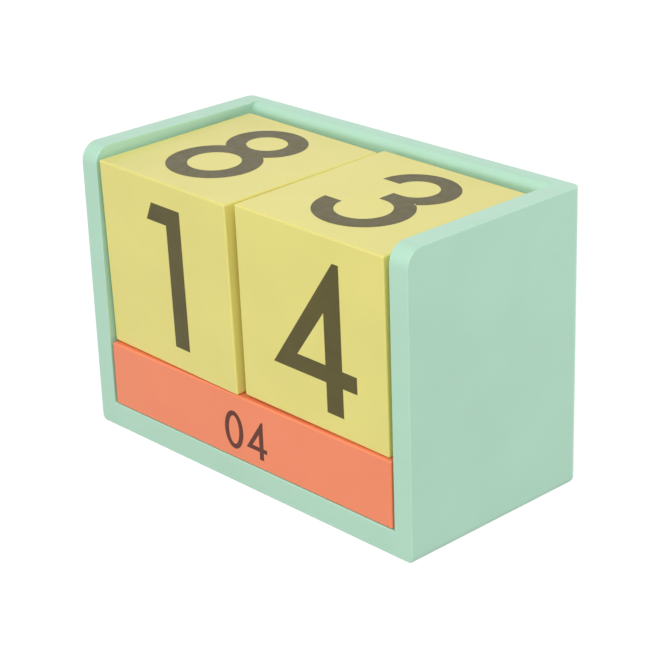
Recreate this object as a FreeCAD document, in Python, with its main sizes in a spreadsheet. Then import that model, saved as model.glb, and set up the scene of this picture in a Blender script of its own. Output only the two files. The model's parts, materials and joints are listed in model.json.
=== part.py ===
import FreeCAD, Part
import Sketcher
import math
import os

# Perpetual block calendar, in millimetres.
#
# A painted case, open at the front and the top, holds three square month bars
# side by side on its bottom board. Two number cubes stand on the bars. The
# cubes lift out to be turned to the day, and the bars slide out under them to
# be turned or exchanged for the month.
#
# +Z is up and the front is towards -Y. The origin is on the underside of the
# case, at the middle of its width and depth.

doc = FreeCAD.newDocument("block_calendar")

# ---------------------------------------------------------------- dimensions

SIZES = (
    # (alias, value, what it is)
    ("case_width", 116.0, "outside, left to right"),
    ("case_depth", 57.9, "outside, front to back"),
    ("case_height", 77.1, "outside, floor to rim"),
    ("side_thickness", 5.85, "left and right side"),
    ("back_thickness", 5.1, "back board"),
    ("bottom_thickness", 6.6, "bottom board"),
    ("nose_radius", 4.8, "rounded front top corner of each side, seen from the side"),
    ("foot_radius", 1.6, "long lower edges of the case"),
    ("back_radius", 2.0, "upright rear corners of the case"),
    ("rim_radius", 0.35, "outer edge of the front and the top, all the way round"),
    ("mouth_radius", 0.3, "inner edge of the front and of the sides' tops"),
    ("back_rim_radius", 2.3, "inner edge of the back board's top"),
    ("cube_side", 49.75, "number cube"),
    ("cube_radius", 0.5, "every edge of a cube"),
    ("left_cube_gap", 1.55, "between the left side and the left cube, at the middle of its underside"),
    ("right_cube_gap", 1.9, "between the right side and the right cube"),
    ("left_cube_setback", 0.7, "left cube behind the front of the case, at the middle of its underside"),
    ("right_cube_setback", 0.95, "right cube behind the front of the case"),
    ("left_cube_turn", -1.6, "degrees that the loose left cube stands turned, anticlockwise from above"),
    ("right_cube_turn", -0.15, "the same for the right cube"),
    ("left_cube_tip", 0.25, "degrees that the left cube is tipped, its right side lower"),
    ("right_cube_tip", 0.65, "the same for the right cube"),
    ("left_cube_lean", 1.4, "degrees that the left cube leans forwards"),
    ("right_cube_lean", 1.3, "the same for the right cube"),
    ("bar_side", 17.45, "square section of a month bar"),
    ("bar_radius", 0.5, "every edge of a bar"),
    ("bar_end_gap", 0.8, "between each end of a bar and the side next to it"),
    ("bar_setback", 0.1, "front bar behind the front of the case"),
    ("bar_spacing", 0.1, "between one bar and the next"),
    ("rest_gap", 0.1, "air left between a piece and what it rests on"),
)


def make_sheet():
    """Put the driving dimensions in a spreadsheet, one named cell each."""
    sheet = doc.addObject("Spreadsheet::Sheet", "sizes")
    for row, (alias, value, meaning) in enumerate(SIZES, start=1):
        sheet.set(f"A{row}", meaning)
        sheet.set(f"B{row}", str(value))
        sheet.setAlias(f"B{row}", alias)
    doc.recompute()
    return sheet


sheet = make_sheet()


# ------------------------------------------------------------------- helpers

def origin_plane(body, role):
    """One of the body's own origin planes, such as XY_Plane."""
    for feature in body.Origin.OriginFeatures:
        if feature.Role == role:
            return feature
    raise LookupError(role)


def rectangle_sketch(body, name, role, width, height):
    """A rectangle on an origin plane, centred on it, with its two sizes driven by the sheet."""
    sketch = body.newObject("Sketcher::SketchObject", name)
    sketch.AttachmentSupport = [(origin_plane(body, role), "")]
    sketch.MapMode = "FlatFace"
    corners = [FreeCAD.Vector(x, y, 0) for x, y in ((-1, -1), (1, -1), (1, 1), (-1, 1))]
    for start, end in zip(corners, corners[1:] + corners[:1]):
        sketch.addGeometry(Part.LineSegment(start, end), False)
    for line, kind in enumerate(("Horizontal", "Vertical", "Horizontal", "Vertical")):
        sketch.addConstraint(Sketcher.Constraint("Coincident", line, 2, (line + 1) % 4, 1))
        sketch.addConstraint(Sketcher.Constraint(kind, line))
    sketch.addConstraint(Sketcher.Constraint("Symmetric", 0, 1, 1, 2, -1, 1))
    sizes = (("width", "DistanceX", 0, width), ("height", "DistanceY", 1, height))
    for label, kind, line, expression in sizes:
        index = sketch.addConstraint(Sketcher.Constraint(kind, line, 1, line, 2, 2.0))
        sketch.renameConstraint(index, label)
        sketch.setExpression(f"Constraints.{label}", expression)
    return sketch


def quarter_round_sketch(body, name, corner_y, corner_z, radius):
    """What a rounding takes off a corner that looks to -Y and +Z, as seen from the side."""
    sketch = body.newObject("Sketcher::SketchObject", name)
    sketch.AttachmentSupport = [(origin_plane(body, "YZ_Plane"), "")]
    sketch.MapMode = "FlatFace"
    foot, corner, end = (FreeCAD.Vector(x, y, 0) for x, y in ((2, 1), (2, 3), (4, 3)))
    sketch.addGeometry(Part.LineSegment(foot, corner), False)
    sketch.addGeometry(Part.LineSegment(corner, end), False)
    circle = Part.Circle(FreeCAD.Vector(4, 1, 0), FreeCAD.Vector(0, 0, 1), 2.0)
    sketch.addGeometry(Part.ArcOfCircle(circle, math.pi / 2, math.pi), False)
    sketch.addConstraint(Sketcher.Constraint("Vertical", 0))
    sketch.addConstraint(Sketcher.Constraint("Horizontal", 1))
    for first, second in (((0, 2), (1, 1)), ((1, 2), (2, 1)), ((2, 2), (0, 1))):
        sketch.addConstraint(Sketcher.Constraint("Coincident", *first, *second))
    sketch.addConstraint(Sketcher.Constraint("Vertical", 2, 3, 2, 1))
    sketch.addConstraint(Sketcher.Constraint("Horizontal", 2, 3, 2, 2))
    sizes = (("corner_y", ("DistanceX", -1, 1, 0, 2), corner_y, 2.0),
             ("corner_z", ("DistanceY", -1, 1, 0, 2), corner_z, 3.0),
             ("radius", ("Radius", 2), radius, 2.0))
    for label, kind, expression, start in sizes:
        index = sketch.addConstraint(Sketcher.Constraint(*kind, start))
        sketch.renameConstraint(index, label)
        sketch.setExpression(f"Constraints.{label}", expression)
    return sketch


def pad(body, name, sketch, length):
    """Raise a sketch into a solid of the given height."""
    feature = body.newObject("PartDesign::Pad", name)
    feature.Profile = sketch
    feature.setExpression("Length", length)
    doc.recompute()
    return feature


def round_edges(body, name, radius, wanted):
    """Round the edges of the body's present solid that the test picks out."""
    base = body.Tip
    names = [f"Edge{n}" for n, edge in enumerate(base.Shape.Edges, start=1) if wanted(edge)]
    if not names:
        raise ValueError(f"{name}: no edge to round")
    fillet = body.newObject("PartDesign::Fillet", name)
    fillet.Base = (base, names)
    fillet.setExpression("Radius", radius)
    doc.recompute()
    return fillet


def all_on(edge, axis, value):
    """Every point of the edge has this coordinate along the axis."""
    low, high = edge.FirstParameter, edge.LastParameter
    points = [edge.valueAt(low + share * (high - low)) for share in (0.0, 0.5, 1.0)]
    return all(abs(getattr(point, axis) - value) < 0.001 for point in points)


def place(item, x, y, z):
    """Put a sub-part where three formulas of the sheet say."""
    for axis, formula in (("x", x), ("y", y), ("z", z)):
        item.setExpression(f"Placement.Base.{axis}", formula)


def tilt(item, turned, tipped, leaning):
    """Turn a sub-part about its upright axis, then tip it sideways, then lean it forwards."""
    for angle, formula in (("Yaw", turned), ("Pitch", tipped), ("Roll", leaning)):
        item.setExpression(f"Placement.Rotation.{angle}", formula)


# ------------------------------------------------------------------ the case
#
# The four boards are glued and rounded together before they are painted, so the
# whole case is shaped first and then parted where the boards meet.

def make_case_form():
    """The glued case in one piece: a block with a hollow open to the front and the top."""
    body = doc.addObject("PartDesign::Body", "case_form")
    footprint = rectangle_sketch(body, "footprint", "XY_Plane", "sizes.case_width", "sizes.case_depth")
    pad(body, "block", footprint, "sizes.case_height")

    side = sheet.case_width / 2
    inner_side = side - sheet.side_thickness
    front = -sheet.case_depth / 2
    rear = -front
    inner_rear = rear - sheet.back_thickness
    floor = sheet.bottom_thickness
    rim = sheet.case_height

    round_edges(body, "nose", "sizes.nose_radius",
                lambda edge: all_on(edge, "y", front) and all_on(edge, "z", rim))
    round_edges(body, "rear_uprights", "sizes.back_radius",
                lambda edge: all_on(edge, "y", rear)
                and (all_on(edge, "x", side) or all_on(edge, "x", -side)))

    # the hollow: cut upwards from the top of the bottom board
    hollow_plan = rectangle_sketch(body, "hollow_plan", "XY_Plane",
                                   "sizes.case_width - 2 * sizes.side_thickness", "sizes.case_depth")
    hollow_plan.setExpression("AttachmentOffset.Base.y", "-sizes.back_thickness")
    hollow_plan.setExpression("AttachmentOffset.Base.z", "sizes.bottom_thickness")
    doc.recompute()
    before = body.Shape.Volume
    hollow = body.newObject("PartDesign::Pocket", "hollow")
    hollow.Profile = hollow_plan
    hollow.Type = "ThroughAll"
    hollow.Reversed = True
    doc.recompute()
    cut = before - body.Shape.Volume
    print(f"hollow takes {cut:.0f} of {before:.0f} mm3")
    if cut <= 0:
        raise ValueError("the hollow cuts nothing")

    round_edges(body, "foot_edges", "sizes.foot_radius",
                lambda edge: all_on(edge, "z", 0) and (all_on(edge, "x", side) or all_on(edge, "x", -side)))
    round_edges(body, "outer_rim", "sizes.rim_radius",
                lambda edge: all_on(edge, "z", rim) and (all_on(edge, "x", side) or all_on(edge, "x", -side)))
    round_edges(body, "mouth", "sizes.mouth_radius",
                lambda edge: all_on(edge, "y", front) and (all_on(edge, "x", inner_side)
                             or all_on(edge, "x", -inner_side) or all_on(edge, "z", floor)))

    # the back board's inner top edge is rounded more than the rest, but only
    # between the sides, so the rounding is cut with its own outline
    before = body.Shape.Volume
    rounding = body.newObject("PartDesign::Pocket", "back_rim")
    rounding.Profile = quarter_round_sketch(body, "back_rim_outline",
                                            "sizes.case_depth / 2 - sizes.back_thickness",
                                            "sizes.case_height", "sizes.back_rim_radius")
    rounding.Midplane = True
    rounding.setExpression("Length", "sizes.case_width - 2 * sizes.side_thickness")
    doc.recompute()
    cut = before - body.Shape.Volume
    print(f"back rim takes {cut:.1f} mm3")
    if cut <= 0:
        raise ValueError("the rounding of the back rim cuts nothing")
    return body


def make_board(name, length, width, height, x, y, z):
    """One board of the case: what of the glued form lies in its block."""
    block = doc.addObject("Part::Box", f"{name}_block")
    for size, formula in (("Length", length), ("Width", width), ("Height", height)):
        block.setExpression(size, formula)
    place(block, x, y, z)
    board = doc.addObject("Part::Common", name)
    board.Base = case_form
    board.Tool = block
    board.Label = name
    return board


def make_case_boards():
    """Bottom and back between the two sides, which run the full height and depth."""
    between = "sizes.case_width - 2 * sizes.side_thickness"
    left_face = "-sizes.case_width / 2"
    front_face = "-sizes.case_depth / 2"
    inner_left = f"{left_face} + sizes.side_thickness"
    inner_right = "sizes.case_width / 2 - sizes.side_thickness"
    side_board = ("sizes.side_thickness", "sizes.case_depth", "sizes.case_height")
    return [
        make_board("bottom_board", between, "sizes.case_depth", "sizes.bottom_thickness",
                   inner_left, front_face, "0"),
        make_board("left_side", *side_board, left_face, front_face, "0"),
        make_board("right_side", *side_board, inner_right, front_face, "0"),
        make_board("back_board", between, "sizes.back_thickness",
                   "sizes.case_height - sizes.bottom_thickness",
                   inner_left, "sizes.case_depth / 2 - sizes.back_thickness", "sizes.bottom_thickness"),
    ]


# ------------------------------------------------------- the loose blocks
#
# Each block's own origin is at the middle of its underside.

def make_block(name, length, width, height, radius):
    """A solid wooden block with every edge and corner rounded."""
    body = doc.addObject("PartDesign::Body", name)
    outline = rectangle_sketch(body, f"{name}_outline", "XY_Plane", length, width)
    pad(body, f"{name}_solid", outline, height)
    round_edges(body, f"{name}_edges", radius, lambda edge: True)
    body.Label = name
    return body


def make_number_cubes():
    """Two loose cubes side by side, both a little askew, as they were put down.

    The lowest corner of each, front right, comes down to the rest gap above the bars.
    """
    cubes = []
    half = "sizes.cube_side / 2"
    bar_tops = "sizes.bottom_thickness + sizes.bar_side + 2 * sizes.rest_gap"
    for side, sign in (("left", "-1"), ("right", "1")):
        cube = make_block(f"number_cube_{side}", "sizes.cube_side", "sizes.cube_side", "sizes.cube_side",
                          "sizes.cube_radius")
        own = f"sizes.{side}_cube"
        place(cube, f"{sign} * (sizes.case_width / 2 - sizes.side_thickness - {own}_gap - {half})",
              f"-sizes.case_depth / 2 + {own}_setback + {half}",
              f"{bar_tops} + {half} * (sin({own}_tip) + cos({own}_tip) * sin({own}_lean))")
        tilt(cube, f"{own}_turn", f"{own}_tip", f"{own}_lean")
        cubes.append(cube)
    return cubes


def make_month_bars():
    """Three square bars side by side on the bottom board, from the front to the back."""
    bars = []
    length = "sizes.case_width - 2 * (sizes.side_thickness + sizes.bar_end_gap)"
    front_bar = "-sizes.case_depth / 2 + sizes.bar_setback + sizes.bar_side / 2"
    for number, where in enumerate(("front", "middle", "back")):
        bar = make_block(f"month_bar_{where}", length, "sizes.bar_side", "sizes.bar_side", "sizes.bar_radius")
        place(bar, "0", f"{front_bar} + {number} * (sizes.bar_side + sizes.bar_spacing)",
              "sizes.bottom_thickness + sizes.rest_gap")
        bars.append(bar)
    return bars


# ------------------------------------------------------------ check and write

def check_document():
    """Stop if any object of the document failed to compute."""
    for item in doc.Objects:
        if "Invalid" in item.State or "Error" in item.State:
            raise RuntimeError(f"{item.Name}: {item.State}")


def write_parts(items):
    """Write each sub-part to its own STEP file, named by its label."""
    os.makedirs("parts", exist_ok=True)
    for item in items:
        shape = item.Shape
        if shape.isNull() or not shape.isValid():
            raise RuntimeError(f"{item.Label}: no valid solid")
        shape.exportStep(f"parts/{item.Label}.step")
        box = shape.optimalBoundingBox()
        print(f"{item.Label:18s} {len(shape.Solids)} solid {shape.Volume / 1000:8.2f} cm3"
              f"  x {box.XMin:7.2f} {box.XMax:7.2f}  y {box.YMin:7.2f} {box.YMax:7.2f}"
              f"  z {box.ZMin:6.2f} {box.ZMax:6.2f}")


case_form = make_case_form()
sub_parts = make_case_boards() + make_number_cubes() + make_month_bars()
doc.recompute()
check_document()
write_parts(sub_parts)
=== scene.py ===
# %% [markdown]
# # A perpetual block calendar, painted and printed
#
# The calendar is a small painted wooden case, open at the front and the top.
# Three square month bars lie in it side by side, and two number cubes stand on
# the bars. All of the woodwork comes ready made from the CAD model, because its
# shapes are exact there: flat faces with small rounded edges. What Blender adds
# is what makes wood look painted and numbers look printed: three paints, an ink
# in two tints, and the printing itself as a thin raised film.
#
# The order is: load the woodwork, set up the camera, mix the paints and the
# ink, draw the ten numerals, print them on the blocks, then floor and light.

# %% Load the woodwork
import json
import math

import bpy
from mathutils import Matrix, Vector

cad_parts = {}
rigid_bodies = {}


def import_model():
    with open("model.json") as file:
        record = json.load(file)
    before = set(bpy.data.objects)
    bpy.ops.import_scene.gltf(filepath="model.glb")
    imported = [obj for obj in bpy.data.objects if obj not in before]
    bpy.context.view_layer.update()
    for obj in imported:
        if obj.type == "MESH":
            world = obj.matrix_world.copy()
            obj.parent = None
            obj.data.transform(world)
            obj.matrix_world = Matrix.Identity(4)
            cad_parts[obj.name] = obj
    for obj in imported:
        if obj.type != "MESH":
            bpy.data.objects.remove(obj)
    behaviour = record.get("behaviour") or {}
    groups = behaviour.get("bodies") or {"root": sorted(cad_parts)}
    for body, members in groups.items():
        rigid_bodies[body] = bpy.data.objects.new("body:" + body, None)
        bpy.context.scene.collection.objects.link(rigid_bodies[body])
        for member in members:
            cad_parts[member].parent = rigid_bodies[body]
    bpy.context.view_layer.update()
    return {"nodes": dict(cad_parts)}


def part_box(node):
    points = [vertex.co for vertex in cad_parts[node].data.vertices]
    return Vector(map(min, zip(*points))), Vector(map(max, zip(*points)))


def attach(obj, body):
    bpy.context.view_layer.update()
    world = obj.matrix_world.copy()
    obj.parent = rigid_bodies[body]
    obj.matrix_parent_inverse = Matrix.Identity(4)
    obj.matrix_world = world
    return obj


MM = 0.001      # a millimetre in metres

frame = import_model()
for node_name, wood in sorted(frame["nodes"].items()):
    low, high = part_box(node_name)
    size_mm = [round((b - a) / MM, 1) for a, b in zip(low, high)]
    print(f"{node_name:18s} {size_mm} mm, {len(wood.data.polygons)} triangles")

# %% [markdown]
# ## The camera
#
# The viewer stands in front of the calendar, well to the right of it, and looks
# down a little, so that front, top and right side all show. A long lens keeps
# the upright edges almost parallel. The camera could be aimed with a Track To
# constraint, but that can't lean it sideways. So its three axes are worked out
# here: one points back from the calendar to the camera, the other two are
# square to it, and both are then rolled by a small angle.

# %% Place the camera
CAMERA_AZIMUTH = 47.255         # degrees: 0 is straight in front, 90 is the right side
CAMERA_ELEVATION = 22.804
CAMERA_ROLL = -1.972
CAMERA_DISTANCE = 0.51039
CAMERA_TARGET = Vector((0.00140, 0.0, 0.03353))
SENSOR_WIDTH_MM = 36.0
FOCAL_LENGTH_MM = 110.926


def camera_matrix(azimuth, elevation, roll, distance, target):
    """Place and axes of a camera that looks at the target from these angles, in degrees."""
    azimuth, elevation, roll = (math.radians(angle) for angle in (azimuth, elevation, roll))
    back = Vector((math.sin(azimuth) * math.cos(elevation),
                   -math.cos(azimuth) * math.cos(elevation),
                   math.sin(elevation)))
    level = Vector((0, 0, 1)).cross(back).normalized()
    upright = back.cross(level)
    right = math.cos(roll) * level + math.sin(roll) * upright
    up = math.cos(roll) * upright - math.sin(roll) * level
    axes = Matrix((right, up, back)).transposed()
    return Matrix.Translation(target + back * distance) @ axes.to_4x4()


camera_data = bpy.data.cameras.new("calendar_camera")
camera_data.sensor_width = SENSOR_WIDTH_MM
camera_data.lens = FOCAL_LENGTH_MM
camera_data.clip_start = 10 * MM
camera = bpy.data.objects.new("calendar_camera", camera_data)
bpy.context.scene.collection.objects.link(camera)
camera.matrix_world = camera_matrix(CAMERA_AZIMUTH, CAMERA_ELEVATION, CAMERA_ROLL,
                                    CAMERA_DISTANCE, CAMERA_TARGET)
bpy.context.scene.camera = camera
bpy.context.scene.view_settings.view_transform = "Standard"
print("camera at", [round(value, 3) for value in camera.location], "m")

# %% [markdown]
# ## A helper for nodes
#
# Materials and Geometry Nodes are both trees of nodes. Adding a node, setting
# its options and wiring its inputs takes three steps each time, so one helper
# does all three: an input is given by its name or its place, and its value is a
# number, a colour, or the output of another node. Three short helpers on top of
# it name the nodes that come up again and again: Math, Mix and Map Range.

# %% Add nodes
MIX_FACTOR, MIX_COLOUR_A, MIX_COLOUR_B, MIX_RESULT = 0, 6, 7, 2     # sockets of a colour Mix


def add_node(tree, kind, inputs=None, **settings):
    """Add a node, set its options, then fill or link its inputs."""
    made = tree.nodes.new(kind)
    for option, value in settings.items():
        setattr(made, option, value)
    for key, value in (inputs or {}).items():
        socket = made.inputs[key]
        if isinstance(value, bpy.types.NodeSocket):
            tree.links.new(value, socket)
        else:
            socket.default_value = value
    return made


def maths(tree, operation, *values):
    """The result of one Math node."""
    inputs = dict(enumerate(values))
    return add_node(tree, "ShaderNodeMath", inputs, operation=operation).outputs[0]


def blend_colours(tree, amount, colour_a, colour_b):
    """Colour a where the amount is 0, colour b where it is 1."""
    inputs = {MIX_FACTOR: amount, MIX_COLOUR_A: colour_a, MIX_COLOUR_B: colour_b}
    return add_node(tree, "ShaderNodeMix", inputs, data_type="RGBA").outputs[MIX_RESULT]


def stretch(tree, value, low, high, to_low=0.0, to_high=1.0):
    """Map low..high of a value to another range, and stop at its ends."""
    inputs = {"Value": value, "From Min": low, "From Max": high,
              "To Min": to_low, "To Max": to_high}
    return add_node(tree, "ShaderNodeMapRange", inputs, clamp=True).outputs["Result"]


print("helpers ready: add_node, maths, blend_colours, stretch")

# %% [markdown]
# ## Colours as a paint chart gives them
#
# A paint chart gives a colour as three numbers from 0 to 255, spaced as the eye
# sees them. Nodes reckon in amounts of light, and the middle of the chart is
# only about a fifth of the light of white. So each number is turned with the
# standard sRGB curve. A colour is often wanted a touch lighter or darker, and
# that is a plain factor on the light.

# %% Read a colour from the chart
def linear(red, green, blue, lighter=1.0):
    """A colour from 0..255, turned to the light values that nodes use."""
    channels = []
    for channel in (red, green, blue):
        share = channel / 255
        light = share / 12.92 if share <= 0.04045 else ((share + 0.055) / 1.055) ** 2.4
        channels.append(min(1.0, light * lighter))
    return (*channels, 1.0)


print(f"the middle of the chart is {linear(128, 128, 128)[0]:.3f} of full light")

# %% [markdown]
# ## The paint
#
# The case is sprayed mint, the cubes pale yellow and the bars coral orange, all
# in the same matte paint. Matte paint is never one flat colour. It clouds a
# little from spot to spot, and a few specks of dust sit in it. Its rounded edges
# are painted paler too: partly because the paint thins there, and partly as a
# painted highlight where a rounding catches the light. An image of all that would
# need unwrapping and would show a seam. Noise textures on Object coordinates go
# on through every corner of the wood, so they make the clouds and the dust, and
# break up the paler edges.
#
# A noise texture seldom leaves the range from 0.3 to 0.7. Stretching that range
# brings out clouds, and stretching only its top leaves a few separate specks.
#
# The rounded edges need no drawing: on a flat face the normal points straight
# along one axis, and only on a rounding does it lean between two. So one minus
# the normal's largest part is zero on the flats and grows on the edges.

# %% The colour of a coat of paint
CLOUD_WAVES = 45.0          # waves to the metre, here and below
PATCH_WAVES = 380.0
DUST_WAVES = 2600.0
CLOUD_CONTRAST = 0.025      # how much darker and lighter the clouds are
# paler rounded edges: partly thinner paint, partly a painted highlight
EDGE_THIN_PAINT_AND_HIGHLIGHT = 1.04
DUST_DARKER = 0.80
NOISE_SPREAD = (0.3, 0.7)
ROUNDING = (0.004, 0.25)    # mask begins, mask is full
# noise from, noise to, amount from, amount to
PATCHES = (0.35, 0.65, 0.25, 0.60)
DUST = (0.70, 0.80, 0.0, 0.35)


def paint_texture(tree, place, waves, detail, roughness=0.5):
    """A cloud pattern with this many waves to the metre."""
    inputs = {"Vector": place, "Scale": waves, "Detail": detail, "Roughness": roughness}
    return add_node(tree, "ShaderNodeTexNoise", inputs).outputs["Fac"]


def rounded_edge_mask(tree, normal):
    """0 on flat faces, 1 where an edge is rounded over."""
    leaning = add_node(tree, "ShaderNodeVectorMath", {0: normal}, operation="ABSOLUTE").outputs[0]
    parts = add_node(tree, "ShaderNodeSeparateXYZ", {0: leaning}).outputs
    largest = maths(tree, "MAXIMUM", maths(tree, "MAXIMUM", parts[0], parts[1]), parts[2])
    return stretch(tree, maths(tree, "SUBTRACT", 1.0, largest), *ROUNDING)


def coat_colour(tree, place, normal, chart_colour):
    """Clouds, paler rounded edges (thinner paint and a painted highlight) and dust in a paint of
    this colour.
    """
    clouds = stretch(tree, paint_texture(tree, place, CLOUD_WAVES, detail=3.0), *NOISE_SPREAD)
    coat = blend_colours(tree, clouds, linear(*chart_colour, 1 - CLOUD_CONTRAST),
                         linear(*chart_colour, 1 + CLOUD_CONTRAST))
    patchy = stretch(tree, paint_texture(tree, place, PATCH_WAVES, detail=2.0), *PATCHES)
    # rounded edges painted paler: thinner paint there, plus a painted highlight where they catch
    # the light
    thin_paint_and_highlight = maths(tree, "MULTIPLY", rounded_edge_mask(tree, normal), patchy)
    coat = blend_colours(tree, thin_paint_and_highlight, coat, linear(*chart_colour, EDGE_THIN_PAINT_AND_HIGHLIGHT))
    dust = stretch(tree, paint_texture(tree, place, DUST_WAVES, detail=1.0), *DUST)
    return blend_colours(tree, dust, coat, linear(*chart_colour, DUST_DARKER))


print(f"clouds every {1000 / CLOUD_WAVES:.0f} mm, dust specks every {1000 / DUST_WAVES:.1f} mm")

# %% [markdown]
# ## The surface of the paint
#
# Two things show under a raking light. A sprayed coat dries with a soft orange
# peel, and a trace of the wood's grain comes through it. Both are only some
# hundredths of a millimetre deep, far too fine for the mesh, so they are Bump
# nodes, one feeding the other. The grain is a noise that is stretched along the
# board: few waves that way and many across.

# %% The relief of a coat of paint
PEEL_WAVES = 750.0
GRAIN_DEPTH = 0.03 * MM
PEEL_DEPTH = 0.02 * MM
GRAIN_LENGTHWISE = (60.0, 900.0, 900.0)     # waves to the metre along x, y and z
GRAIN_UPRIGHT = (900.0, 900.0, 60.0)


def coat_relief(tree, place, grain_waves):
    """Normals of the grain under the paint with the orange peel on top."""
    along_grain = add_node(tree, "ShaderNodeMapping", {"Vector": place, "Scale": grain_waves})
    grain = paint_texture(tree, along_grain.outputs[0], 1.0, detail=3.0, roughness=0.6)
    grain_relief = add_node(tree, "ShaderNodeBump",
                            {"Strength": 0.35, "Distance": GRAIN_DEPTH, "Height": grain})
    peel = paint_texture(tree, place, PEEL_WAVES, detail=2.0)
    peel_relief = add_node(tree, "ShaderNodeBump",
                           {"Strength": 0.5, "Distance": PEEL_DEPTH, "Height": peel,
                            "Normal": grain_relief.outputs[0]})
    return peel_relief.outputs[0]


print(f"grain {GRAIN_DEPTH / MM:.2f} mm deep, orange peel {PEEL_DEPTH / MM:.2f} mm")

# %% [markdown]
# ## The four mixes
#
# Each paint is one Principled shader that gets the colour and the relief. Its
# film is a little duller in some places than in others, so the roughness comes
# from a noise too. Four separate materials could be wired by hand, but they
# differ only in their colour and in the way the grain runs, so one function
# mixes them all.

# %% Mix a matte paint
SHEEN_WAVES = 140.0
PAINT_ROUGHNESS = (0.28, 0.38)
MINT = (183, 226, 202)
YELLOW = (236, 226, 128)
ORANGE = (251, 141, 98)


def matte_paint(name, chart_colour, grain_waves):
    """Matte paint of this colour over wood with this grain."""
    material = bpy.data.materials.new(name)
    material.use_nodes = True
    tree = material.node_tree
    shader = tree.nodes["Principled BSDF"]
    coordinates = add_node(tree, "ShaderNodeTexCoord").outputs
    place, normal = coordinates["Object"], coordinates["Normal"]
    sheen = paint_texture(tree, place, SHEEN_WAVES, detail=3.0)
    dull = stretch(tree, sheen, *NOISE_SPREAD, *PAINT_ROUGHNESS)
    tree.links.new(coat_colour(tree, place, normal, chart_colour), shader.inputs["Base Color"])
    tree.links.new(dull, shader.inputs["Roughness"])
    tree.links.new(coat_relief(tree, place, grain_waves), shader.inputs["Normal"])
    print(f"{name}: {len(tree.nodes)} nodes, chart colour {chart_colour}")
    return material


mint_paint = matte_paint("mint_paint", MINT, GRAIN_LENGTHWISE)
mint_paint_sides = matte_paint("mint_paint_sides", MINT, GRAIN_UPRIGHT)
yellow_paint = matte_paint("yellow_paint", YELLOW, GRAIN_LENGTHWISE)
orange_paint = matte_paint("orange_paint", ORANGE, GRAIN_LENGTHWISE)

# %% [markdown]
# ## Painting the woodwork
#
# The wood's own meshes stay as they are, and only their material slots are
# filled. In the bottom board, the back board and the blocks the grain runs from
# left to right. In the two sides it stands upright, so they get a mint of their
# own.

# %% Paint the woodwork
PAINT_OF = {
    "bottom_board": mint_paint,
    "back_board": mint_paint,
    "left_side": mint_paint_sides,
    "right_side": mint_paint_sides,
    "number_cube_left": yellow_paint,
    "number_cube_right": yellow_paint,
    "month_bar_front": orange_paint,
    "month_bar_middle": orange_paint,
    "month_bar_back": orange_paint,
}
for node_name, paint in PAINT_OF.items():
    for material_slot in frame["nodes"][node_name].material_slots:
        material_slot.material = paint
    print(f"{node_name} is painted with {paint.name}")

# %% [markdown]
# ## The ink
#
# The numbers are printed straight onto the paint in one dark grey-brown ink.
# Seen close, such ink has pinholes where the paint shows through, and it lies
# a touch thicker in some places than in others. A plain dark colour would look
# like a hole in the block, so the ink gets fine pale freckles. It mirrors less
# light than the paint does, because a mirrored white tent would turn so dark a
# colour grey. The film is thin enough for the paint below to tint it: over
# yellow it turns olive, over orange it turns a red brown.

# %% Mix the ink
INK_ON_YELLOW = (84, 75, 18)
INK_ON_ORANGE = (92, 37, 8)
COVER_WAVES = 160.0
PINHOLE_WAVES = 2200.0
GLOSS_WAVES = 500.0
FILM_WAVES = 1500.0
COVER_CONTRAST = 0.10
PINHOLE_LIGHTER = 1.9
INK_ROUGHNESS = (0.30, 0.42)
INK_MIRROR = 0.33           # specular level; the paint has Blender's usual 0.5
PINHOLES = (0.62, 0.74, 0.0, 0.5)       # noise from, noise to, amount from, amount to
INK_RELIEF_DEPTH = 0.01 * MM


def printing_ink(name, chart_colour):
    """Dark screen ink with fine pinholes, in the tint that the paint below gives it."""
    material = bpy.data.materials.new(name)
    material.use_nodes = True
    tree = material.node_tree
    shader = tree.nodes["Principled BSDF"]
    place = add_node(tree, "ShaderNodeTexCoord").outputs["Object"]

    cover = stretch(tree, paint_texture(tree, place, COVER_WAVES, detail=3.0), *NOISE_SPREAD)
    film = blend_colours(tree, cover, linear(*chart_colour, 1 - COVER_CONTRAST),
                         linear(*chart_colour, 1 + COVER_CONTRAST))
    pinholes = stretch(tree, paint_texture(tree, place, PINHOLE_WAVES, detail=2.0), *PINHOLES)
    film = blend_colours(tree, pinholes, film, linear(*chart_colour, PINHOLE_LIGHTER))
    tree.links.new(film, shader.inputs["Base Color"])

    gloss = paint_texture(tree, place, GLOSS_WAVES, detail=2.0)
    dull = stretch(tree, gloss, *NOISE_SPREAD, *INK_ROUGHNESS)
    tree.links.new(dull, shader.inputs["Roughness"])
    shader.inputs["Specular IOR Level"].default_value = INK_MIRROR

    film_height = paint_texture(tree, place, FILM_WAVES, detail=2.0)
    relief = add_node(tree, "ShaderNodeBump",
                      {"Strength": 0.4, "Distance": INK_RELIEF_DEPTH, "Height": film_height})
    tree.links.new(relief.outputs[0], shader.inputs["Normal"])
    print(f"{name}: {len(tree.nodes)} nodes, chart colour {chart_colour}")
    return material


number_ink = printing_ink("number_ink", INK_ON_YELLOW)
month_ink = printing_ink("month_ink", INK_ON_ORANGE)

# %% [markdown]
# ## The numerals
#
# The numerals are in a geometric style: round parts are pieces of ellipses and
# straight parts are plain bars, all with an even stroke. A font could be used,
# but none that comes with Blender is drawn this way. So each numeral is drawn
# as a list of points, and its round parts come from one function that walks
# along an ellipse in small steps.

# %% Walk along an ellipse
ARC_STEP = 5.0      # degrees between two points of an arc


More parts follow.
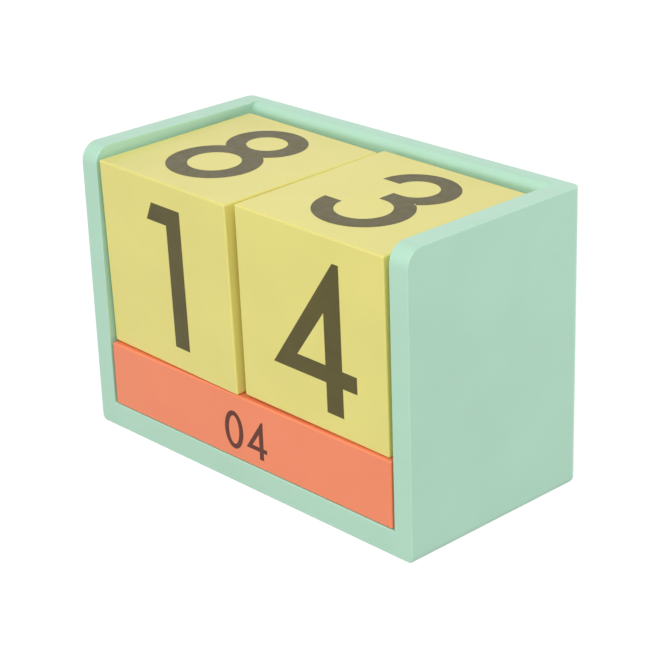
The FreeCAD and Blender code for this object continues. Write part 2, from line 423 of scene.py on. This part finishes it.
def arc(centre_x, centre_y, radius_x, radius_y, start, end):
    """Points on an ellipse between two angles, in degrees, anticlockwise from the right."""
    steps = max(2, round(abs(end - start) / ARC_STEP))
    points = []
    for step in range(steps + 1):
        angle = math.radians(start + (end - start) * step / steps)
        points.append((centre_x + radius_x * math.cos(angle),
                       centre_y + radius_y * math.sin(angle)))
    return points


def ellipse(centre_x, centre_y, radius_x, radius_y):
    """A whole ellipse, without its first point twice."""
    return arc(centre_x, centre_y, radius_x, radius_y, 0, 360)[:-1]


print("a whole ellipse has", len(ellipse(0, 0, 1, 1)), "points")

# %% [markdown]
# ## Their outlines
#
# Each numeral is a list of closed outlines in millimetres, for a numeral about
# 38 mm tall with its middle at 0, 0. The first outline is the outer one and the
# others are its holes. A 9 is a 6 turned upside down, just as it is on a real
# block calendar.

# %% Draw the ten numerals
NUMERAL_HEIGHT = 38.0       # every numeral is within a millimetre of it


def upside_down(outlines):
    """The same outlines turned by half a turn."""
    return [[(-x, -y) for x, y in outline] for outline in outlines]


ZERO = [ellipse(0, 0, 12.9, 19.3), ellipse(0, 0, 7.2, 14.5)]
ONE = [[(-4.4, 18.65), (6.7, 18.65), (6.7, -18.65),
        (1.05, -18.65), (1.05, 13.85), (-6.7, 13.85)]]
TWO = [arc(0, 8.1, 12.0, 11.2, 180, -35)
       + [(-3.6, -14.3), (12.6, -14.3), (12.6, -19), (-12.9, -19)]
       + arc(0, 8.1, 6.4, 6.5, -35, 180)]
THREE = [[(-1.7, -0.75)]
         + arc(0, -7.5, 7.3, 6.75, 90, -180) + arc(0, -7.5, 12.95, 11.7, 180, 417)
         + arc(0.85, 9.4, 11.4, 9.8, -54, 180) + arc(0.85, 9.4, 5.8, 5.4, 180, -90)
         + [(-1.7, 4.0)]]
FOUR = [[(7.4, 19.2), (9.45, 19.2), (9.45, -7.1), (14.25, -7.1), (14.25, -11.5),
         (9.45, -11.5), (9.45, -19.2), (3.85, -19.2), (3.85, -11.5), (-14.25, -11.5)],
        [(3.85, 6.1), (3.85, -7.1), (-5.8, -7.1)]]
FIVE = [[(9.9, 19.0), (9.9, 14.2), (-4.3, 14.2), (-5.2, 4.9)]
        + arc(-0.6, -6.6, 12.8, 12.6, 106, -158) + arc(-0.6, -6.6, 7.2, 7.9, -158, 140)
        + [(-11.2, 0.4), (-8.9, 19.0)]]
SIX = [[(1.25, 19.0), (7.8, 19.0)] + arc(0, -7.2, 12.9, 12.1, 94, -210),
       ellipse(0, -7.2, 7.25, 7.0)]
SEVEN = [[(-12.2, 19.0), (12.6, 19.0), (12.6, 16.0), (-2.6, -19.0),
          (-8.9, -19.0), (5.3, 14.2), (-12.2, 14.2)]]
EIGHT = [arc(0, 9.65, 11.5, 9.8, -52, 232) + arc(0, -7.65, 12.95, 11.8, 123, 417),
         ellipse(0, 9.65, 5.8, 4.97), ellipse(0, -7.6, 7.15, 6.68)]
NUMERALS = [ZERO, ONE, TWO, THREE, FOUR, FIVE, SIX, SEVEN, EIGHT, upside_down(SIX)]

for digit, outlines in enumerate(NUMERALS):
    heights = [y for x, y in outlines[0]]
    print(f"numeral {digit}: {max(heights) - min(heights):.1f} mm tall, {len(outlines) - 1} holes")

# %% [markdown]
# ## The type case
#
# A printer keeps the numerals in a case and takes them from there. Here the
# case is a collection, and each numeral is in it once. An outline with holes has
# to be filled with triangles, which could be worked out by hand, but a flat,
# filled curve does it by itself. So each numeral is drawn as such a curve and
# then turned into a mesh. The case is linked to no scene, so that nothing in it
# is rendered.

# %% Fill the type case
def numeral_mesh(name, outlines):
    """A flat mesh of the numeral, facing up."""
    curve = bpy.data.curves.new(name, "CURVE")
    curve.dimensions = "2D"
    curve.fill_mode = "BOTH"
    for outline in outlines:
        spline = curve.splines.new("POLY")
        spline.points.add(len(outline) - 1)
        for point, (x, y) in zip(spline.points, outline):
            point.co = (x * MM, y * MM, 0, 1)
        spline.use_cyclic_u = True
    flat = bpy.data.objects.new(name, curve)
    mesh = bpy.data.meshes.new_from_object(flat)
    bpy.data.objects.remove(flat)
    if mesh.polygons[0].normal.z < 0:
        mesh.flip_normals()
    mesh.name = name
    return mesh


type_case = bpy.data.collections.new("numeral_type_case")
for digit, outlines in enumerate(NUMERALS):
    name = f"numeral_{digit}"
    letter = bpy.data.objects.new(name, numeral_mesh(name, outlines))
    type_case.objects.link(letter)
    print(f"{name}: {len(letter.data.vertices)} points, {len(letter.data.polygons)} triangles")

# %% [markdown]
# ## Printing by Geometry Nodes
#
# Each block carries several numerals of the same kind: one on each of the six
# faces of a cube, and two on each of the four long faces of a bar. That is a
# rule, so Geometry Nodes do it. The script only makes a cloud of points, one
# for each numeral, and writes on each which numeral it is and how it is turned.
# The tree then puts the numerals there as instances, makes them real, raises
# them by the thickness of the ink, closes the underside and gives them the ink.

# %% Build the printing tree
WELD_DISTANCE = 0.002 * MM      # the rims of the two sides already meet, so this is plenty


def printing_tree():
    """Points that carry a numeral's value and turn go in; raised printing comes out."""
    tree = bpy.data.node_groups.new("print_numerals", "GeometryNodeTree")
    interface = tree.interface
    interface.new_socket("Places", in_out="INPUT", socket_type="NodeSocketGeometry")
    interface.new_socket("Numerals", in_out="INPUT", socket_type="NodeSocketCollection")
    interface.new_socket("Size", in_out="INPUT", socket_type="NodeSocketFloat")
    interface.new_socket("Ink thickness", in_out="INPUT", socket_type="NodeSocketFloat")
    interface.new_socket("Ink", in_out="INPUT", socket_type="NodeSocketMaterial")
    interface.new_socket("Printing", in_out="OUTPUT", socket_type="NodeSocketGeometry")
    given = add_node(tree, "NodeGroupInput").outputs

    letters = add_node(tree, "GeometryNodeCollectionInfo",
                       {"Collection": given["Numerals"], "Separate Children": True,
                        "Reset Children": True}).outputs[0]
    which = add_node(tree, "GeometryNodeInputNamedAttribute", {"Name": "numeral"},
                     data_type="INT")
    turned = add_node(tree, "GeometryNodeInputNamedAttribute", {"Name": "turn"},
                      data_type="QUATERNION")
    placed = add_node(tree, "GeometryNodeInstanceOnPoints",
                      {"Points": given["Places"], "Instance": letters, "Pick Instance": True,
                       "Instance Index": which.outputs[0], "Rotation": turned.outputs[0],
                       "Scale": given["Size"]}).outputs[0]
    flat = add_node(tree, "GeometryNodeRealizeInstances", {"Geometry": placed}).outputs[0]

    raised = add_node(tree, "GeometryNodeExtrudeMesh",
                      {"Mesh": flat, "Offset Scale": given["Ink thickness"],
                       "Individual": False}, mode="FACES").outputs[0]
    underside = add_node(tree, "GeometryNodeFlipFaces", {"Mesh": flat}).outputs[0]
    joined = add_node(tree, "GeometryNodeJoinGeometry")
    tree.links.new(underside, joined.inputs[0])
    tree.links.new(raised, joined.inputs[0])
    closed = add_node(tree, "GeometryNodeMergeByDistance",
                      {"Geometry": joined.outputs[0], "Distance": WELD_DISTANCE}).outputs[0]
    inked = add_node(tree, "GeometryNodeSetMaterial",
                     {"Geometry": closed, "Material": given["Ink"]}).outputs[0]
    add_node(tree, "NodeGroupOutput", {"Printing": inked})
    return tree


print_numerals = printing_tree()
print("printing tree:", len(print_numerals.nodes), "nodes")

# %% [markdown]
# ## Where the numerals go
#
# A face is described by the direction in which its numeral is read, the
# direction of the numeral's head, and the direction straight out of the face.
# These three are the columns of a rotation. A loose block need not stand square
# to the case: both cubes are turned a little and lean forwards. So its stance is
# measured on its mesh, where the normals of its front and top faces say which
# way it looks.

# %% Measure the blocks and their faces
FACES = {
    # face: (reading direction, head of the numeral)
    "front": ((1, 0, 0), (0, 0, 1)),
    "back": ((-1, 0, 0), (0, 0, 1)),
    "right": ((0, 1, 0), (0, 0, 1)),
    "left": ((0, -1, 0), (0, 0, 1)),
    "top": ((1, 0, 0), (0, 1, 0)),
    "bottom": ((1, 0, 0), (0, -1, 0)),
}
FLAT_FACE = 0.99        # cosine of about 8 degrees, which leaves the rounded edges out


def looking(node_name, direction):
    """Mean normal of the flat face of a block that looks roughly this way."""
    total = Vector((0, 0, 0))
    for polygon in frame["nodes"][node_name].data.polygons:
        if polygon.normal.dot(direction) > FLAT_FACE:
            total += polygon.normal * polygon.area
    return total.normalized()


def block_of(node_name):
    """Middle of a block, its stance as a matrix, and half its thickness."""
    low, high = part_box(node_name)
    middle = (low + high) / 2
    up = looking(node_name, Vector((0, 0, 1)))
    inwards = -looking(node_name, Vector((0, -1, 0)))
    stance = Matrix((inwards.cross(up), inwards, up)).transposed()
    points = frame["nodes"][node_name].data.vertices
    half = max((point.co - middle).dot(up) for point in points)
    return middle, stance, half


def face_turn(face):
    """Rotation that lays a numeral on this face of a square block."""
    reading, head = (Vector(direction) for direction in FACES[face])
    return Matrix((reading, head, reading.cross(head))).transposed()


for node_name in ("number_cube_left", "number_cube_right", "month_bar_front"):
    middle, stance, half = block_of(node_name)
    degrees = [round(math.degrees(angle), 2) for angle in stance.to_euler()]
    print(f"{node_name}: half {half / MM:.2f} mm, turned about x, y and z by {degrees} degrees")

# %% [markdown]
# ## Print the blocks
#
# The ink is a film of 0.04 mm that is sunk a quarter of its thickness into the
# paint, so that no gap shows under it and the two surfaces never fight. A flat
# decal would be thinner still, but it has no underside, and a real print is a
# closed body that can be measured. Each block gets a mesh of its own, so that
# its printing moves with it.

# %% Print one block
INK_THICKNESS = 0.04 * MM
INK_SINK = 0.01 * MM


def places_to_print(name, node_name, prints):
    """A cloud of points on a block's faces that says which numeral goes where."""
    middle, stance, half = block_of(node_name)
    places, digits, turns = [], [], []
    for face, digit, right, up in prints:
        rotation = stance @ face_turn(face)
        offset = rotation @ Vector((right * MM, up * MM, half - INK_SINK))
        places.append(middle + offset)
        digits.append(digit)
        turns.extend(rotation.to_quaternion())
    cloud = bpy.data.meshes.new(f"{name}_places")
    cloud.from_pydata(places, [], [])
    cloud.attributes.new("numeral", "INT", "POINT").data.foreach_set("value", digits)
    cloud.attributes.new("turn", "QUATERNION", "POINT").data.foreach_set("value", turns)
    return cloud


def print_block(name, node_name, body, prints, size, ink):
    """Print numerals (face, digit, shift right, shift up) on a block as one mesh."""
    carrier = bpy.data.objects.new(f"{name}_carrier", places_to_print(name, node_name, prints))
    bpy.context.scene.collection.objects.link(carrier)
    modifier = carrier.modifiers.new("printing", "NODES")
    modifier.node_group = print_numerals
    settings = {"Numerals": type_case, "Size": size, "Ink thickness": INK_THICKNESS, "Ink": ink}
    for item in print_numerals.interface.items_tree:
        if item.in_out == "INPUT" and item.name in settings:
            modifier[item.identifier] = settings[item.name]
    carrier.update_tag()
    evaluated = carrier.evaluated_get(bpy.context.evaluated_depsgraph_get())
    printing = bpy.data.objects.new(name, bpy.data.meshes.new_from_object(evaluated))
    bpy.data.objects.remove(carrier)
    bpy.context.scene.collection.objects.link(printing)
    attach(printing, body)
    print(f"{name}: {len(prints)} numerals, {len(printing.data.polygons)} faces")


print(f"ink {INK_THICKNESS / MM:.2f} mm thick, {INK_SINK / MM:.2f} mm of it in the paint")

# %% [markdown]
# ## The two cubes
#
# Together the cubes have to show every day from 01 to 31. Both need a 1 and a
# 2, for 11 and 22, and a 0 on each lets it go with all the other numerals. That
# fills six of the twelve faces and leaves six for 3 to 8, because a 6 also does
# for a 9. The prints on the front and top faces sit up to two millimetres off
# the middle, as pad prints do.

# %% Print the two cubes
LEFT_CUBE_PRINTS = [
    # (face, numeral, millimetres to its right, millimetres up)
    ("front", 1, 0.35, -0.1), ("top", 8, -1.3, 1.2), ("right", 0, 0.0, 0.0),
    ("left", 2, 0.0, 0.0), ("back", 6, 0.0, 0.0), ("bottom", 7, 0.0, 0.0),
]
RIGHT_CUBE_PRINTS = [
    ("front", 4, 0.85, -0.5), ("top", 3, 0.3, 0.7), ("right", 1, 0.0, 0.0),
    ("left", 2, 0.0, 0.0), ("back", 5, 0.0, 0.0), ("bottom", 0, 0.0, 0.0),
]
FULL_SIZE = 1.0

print_block("numerals_left_cube", "number_cube_left", "left_cube",
            LEFT_CUBE_PRINTS, FULL_SIZE, number_ink)
print_block("numerals_right_cube", "number_cube_right", "right_cube",
            RIGHT_CUBE_PRINTS, FULL_SIZE, number_ink)

# %% [markdown]
# ## The three month bars
#
# The bars carry the months as plain two-figure numbers, from 01 to 12, one to
# each long face and so four to a bar. The same numerals serve again at about a
# quarter of their size. Like the prints on the cubes, these sit a little off
# the middle of the face.

# %% Print the three month bars
MONTH_FIGURE_HEIGHT = 10.1
MONTH_SIZE = MONTH_FIGURE_HEIGHT / NUMERAL_HEIGHT
FIGURE_SPACING = 8.3        # between the middles of the two figures
MONTH_RIGHT = 0.6           # the whole print sits this far from the middle of its face
MONTH_UP = -1.0
BAR_FACES = ("front", "top", "back", "bottom")
BAR_MONTHS = {"front": (4, 3, 2, 1), "middle": (8, 7, 6, 5), "back": (12, 11, 10, 9)}


def month_prints(months):
    """Two figures for each month, one month to a long face."""
    prints = []
    for face, month in zip(BAR_FACES, months):
        tens, units = divmod(month, 10)
        prints.append((face, tens, MONTH_RIGHT - FIGURE_SPACING / 2, MONTH_UP))
        prints.append((face, units, MONTH_RIGHT + FIGURE_SPACING / 2, MONTH_UP))
    return prints


for where, months in BAR_MONTHS.items():
    print_block(f"months_{where}_bar", f"month_bar_{where}", f"{where}_bar",
                month_prints(months), MONTH_SIZE, month_ink)

# %% [markdown]
# ## Empty the type case
#
# The printing is done, and the meshes on the blocks no longer need the numerals
# that they were made from. Removing them leaves only what belongs to the
# calendar.

# %% Empty the type case
letters_left = list(type_case.objects)
for letter in letters_left:
    bpy.data.objects.remove(letter)
bpy.data.collections.remove(type_case)
print("numerals put away:", len(letters_left))

# %% [markdown]
# ## Floor and background
#
# The calendar stands on a plain white sweep. The floor has to look white and
# still hold a shadow. More light would burn out the paint, so where the camera
# sees the floor, straight or in a mirror, the floor's own diffuse light is mixed
# with a plain white glow, and the shadow keeps a part of its depth. All other
# rays meet an ordinary pale grey floor, which throws its light back on the
# calendar.

# %% Lay the floor
FLOOR_SIZE = 3.0
FLOOR_GREY = 0.45
GLOW_SHARE = 0.80       # how much of what the camera sees is glow
GLOW_STRENGTH = 1.20
WHITE = (1, 1, 1, 1)


def seen_directly(tree):
    """1 for rays from the camera, and for those that a mirror or glass passes on."""
    path = add_node(tree, "ShaderNodeLightPath").outputs
    rays = maths(tree, "ADD", path["Is Camera Ray"], path["Is Glossy Ray"])
    return maths(tree, "MINIMUM", maths(tree, "ADD", rays, path["Is Transmission Ray"]), 1.0)


floor_paper = bpy.data.materials.new("floor_paper")
floor_paper.use_nodes = True
floor_tree = floor_paper.node_tree
floor_tree.nodes.clear()
paper = add_node(floor_tree, "ShaderNodeBsdfDiffuse",
                 {"Color": (FLOOR_GREY, FLOOR_GREY, FLOOR_GREY, 1)})
glow = add_node(floor_tree, "ShaderNodeEmission", {"Color": WHITE, "Strength": GLOW_STRENGTH})
share = maths(floor_tree, "MULTIPLY", seen_directly(floor_tree), GLOW_SHARE)
sweep = add_node(floor_tree, "ShaderNodeMixShader",
                 {0: share, 1: paper.outputs[0], 2: glow.outputs[0]})
add_node(floor_tree, "ShaderNodeOutputMaterial", {"Surface": sweep.outputs[0]})

half_floor = FLOOR_SIZE / 2
floor_mesh = bpy.data.meshes.new("floor")
floor_mesh.from_pydata([(-half_floor, -half_floor, 0), (half_floor, -half_floor, 0),
                        (half_floor, half_floor, 0), (-half_floor, half_floor, 0)],
                       [], [(0, 1, 2, 3)])
floor_mesh.materials.append(floor_paper)
floor = bpy.data.objects.new("floor", floor_mesh)
bpy.context.scene.collection.objects.link(floor)
print(f"floor: {FLOOR_SIZE} m square, {len(floor_tree.nodes)} nodes in its material")

# %% [markdown]
# ## The tent
#
# The light is that of a white tent, even from all sides, as in a small
# studio. It could be built from sheets of white cloth, but the world's plain
# light does the same with one node. Where the camera sees it, straight or in a
# mirror, it is white.

# %% Light the tent
TENT_LIGHT = 0.46
BACKDROP_LIGHT = 1.0        # seen by the camera as plain white

world = bpy.data.worlds.new("white_tent")
bpy.context.scene.world = world
world.use_nodes = True
world_tree = world.node_tree
world_tree.nodes.clear()
tent = add_node(world_tree, "ShaderNodeBackground", {"Color": WHITE, "Strength": TENT_LIGHT})
backdrop = add_node(world_tree, "ShaderNodeBackground",
                    {"Color": WHITE, "Strength": BACKDROP_LIGHT})
tent_mix = add_node(world_tree, "ShaderNodeMixShader",
                    {0: seen_directly(world_tree), 1: tent.outputs[0], 2: backdrop.outputs[0]})
add_node(world_tree, "ShaderNodeOutputWorld", {"Surface": tent_mix.outputs[0]})
print(f"tent: {TENT_LIGHT} of full light on the calendar, {BACKDROP_LIGHT} for the camera")

# %% [markdown]
# ## The lamps
#
# One large soft lamp hangs above the camera, so that the front and the right
# side are lit nearly the same and the shadow falls behind the calendar. Four
# smaller lamps stand low around it, so that no side is left dull when the
# calendar is turned. Their strength could be set in watts, but then each would
# need a new value whenever it moves. So it is given as the brightness of a
# white wall that faces the lamp, and the watts follow from the distance.
#
# The lamps themselves don't show, they only light. The left and the back lamp
# aren't mirrored in the paint either, because a lamp so low would burn a white
# patch into the cubes' tops when they are seen from across it.

# %% Place the lamps
STUDIO_DISTANCE = 1.3       # metres from the calendar
NEAR_DISTANCE = 0.40


def soft_lamp(name, azimuth, elevation, distance, width, brightness, mirrored=True):
    """A square lamp that looks at the calendar; a white wall facing it gets this brightness."""
    lamp_data = bpy.data.lights.new(name, "AREA")
    lamp_data.size = width
    lamp_data.energy = brightness * math.pi ** 2 * distance ** 2
    lamp = bpy.data.objects.new(name, lamp_data)
    lamp.visible_camera = False
    lamp.visible_glossy = mirrored
    bpy.context.scene.collection.objects.link(lamp)
    lamp.matrix_world = camera_matrix(azimuth, elevation, 0.0, distance, CAMERA_TARGET)
    print(f"{name}: {lamp_data.energy:.1f} W at {distance} m")


# name, azimuth, elevation, distance, width, brightness
soft_lamp("key_lamp", 44.0, 42.0, STUDIO_DISTANCE, 1.0, 0.52)
soft_lamp("front_lamp", -14.0, 20.0, STUDIO_DISTANCE, 0.5, 0.21)
soft_lamp("left_lamp", 262.0, 7.0, STUDIO_DISTANCE, 0.2, 0.38, mirrored=False)
soft_lamp("back_lamp", 172.0, 7.0, STUDIO_DISTANCE, 0.2, 0.42, mirrored=False)
soft_lamp("fill_lamp", 125.0, 12.0, NEAR_DISTANCE, 0.15, 0.10)
